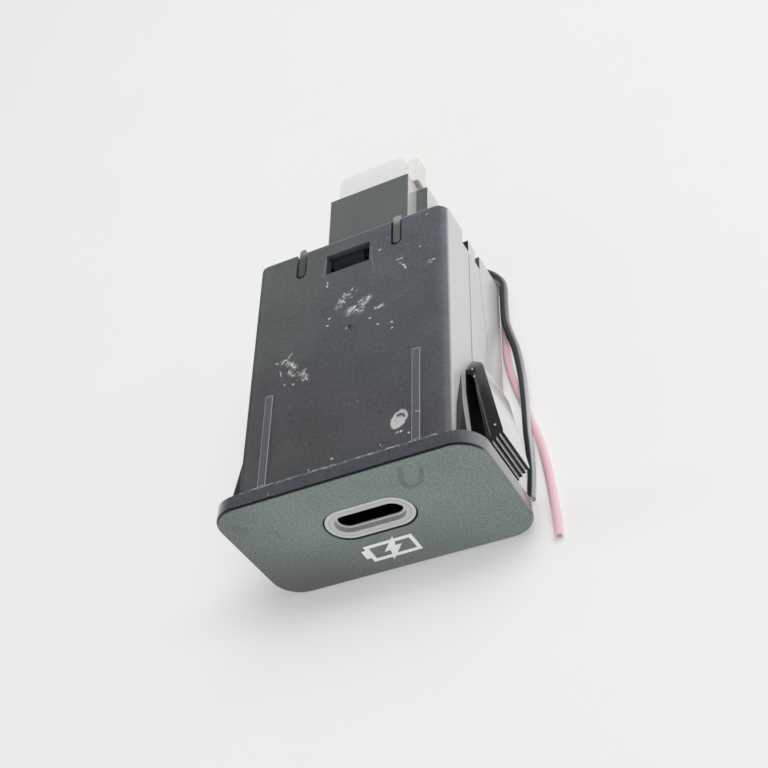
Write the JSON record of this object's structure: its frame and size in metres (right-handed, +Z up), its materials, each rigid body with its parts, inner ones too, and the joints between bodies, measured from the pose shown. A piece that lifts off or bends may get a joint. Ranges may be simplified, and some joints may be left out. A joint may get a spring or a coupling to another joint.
{
  "type": "usb-c charging socket",
  "caption": "Dash-mounted USB-C charging socket: flanged bezel round a recessed port, black sleeve with side snap wings, rear shroud with a mated white harness plug and cut wires.",
  "frame": {"origin": "middle of the object's length and width, on the surface it rests on, at the bezel's bottom edge; the wires are not counted", "axes": "+X to the right seen from the front, +Y from the bezel's face to the harness plug, +Z up; the port faces -Y"},
  "size_m": [0.0379, 0.0596, 0.0192],
  "materials": {
    "bezel_plastic": "fine moulded texture",
    "ring_plastic": "satin, slightly translucent",
    "housing_plastic": "smooth moulded, lightly scuffed",
    "cover_plastic": "smooth moulded",
    "board_laminate": "solder mask",
    "shell_steel": "nickel-plated sheet",
    "tongue_plastic": "moulded",
    "gold_contact": "gold flash",
    "tinned_brass": "tinned",
    "ferrite": "pressed powder",
    "can_aluminium": "drawn can",
    "chip_resin": "moulded resin",
    "ceramic": "fired ceramic",
    "led_resin": "clear-topped resin",
    "plug_nylon": "satin moulded",
    "retainer_nylon": "satin moulded",
    "black_insulation": "extruded",
    "pink_insulation": "extruded"
  },
  "bodies": {
    "root": {"bezel": "bezel_plastic", "port_ring": "ring_plastic", "housing": "housing_plastic", "rear_cover": "cover_plastic", "circuit_board": "board_laminate", "usb_shell": "shell_steel", "usb_tongue": "tongue_plastic", "usb_contacts": "gold_contact", "header_pins": "tinned_brass", "power_inductor": "ferrite", "input_capacitor": "can_aluminium", "surge_diode": "chip_resin", "converter_chip": "chip_resin", "charge_controller": "chip_resin", "power_switches": "chip_resin", "ceramic_capacitors": "ceramic", "ring_leds": "led_resin", "plug_housing": "plug_nylon", "plug_terminals": "tinned_brass", "plug_retainer": "retainer_nylon", "wire_black": "black_insulation", "wire_pink": "pink_insulation"}
  },
  "joints": []
}
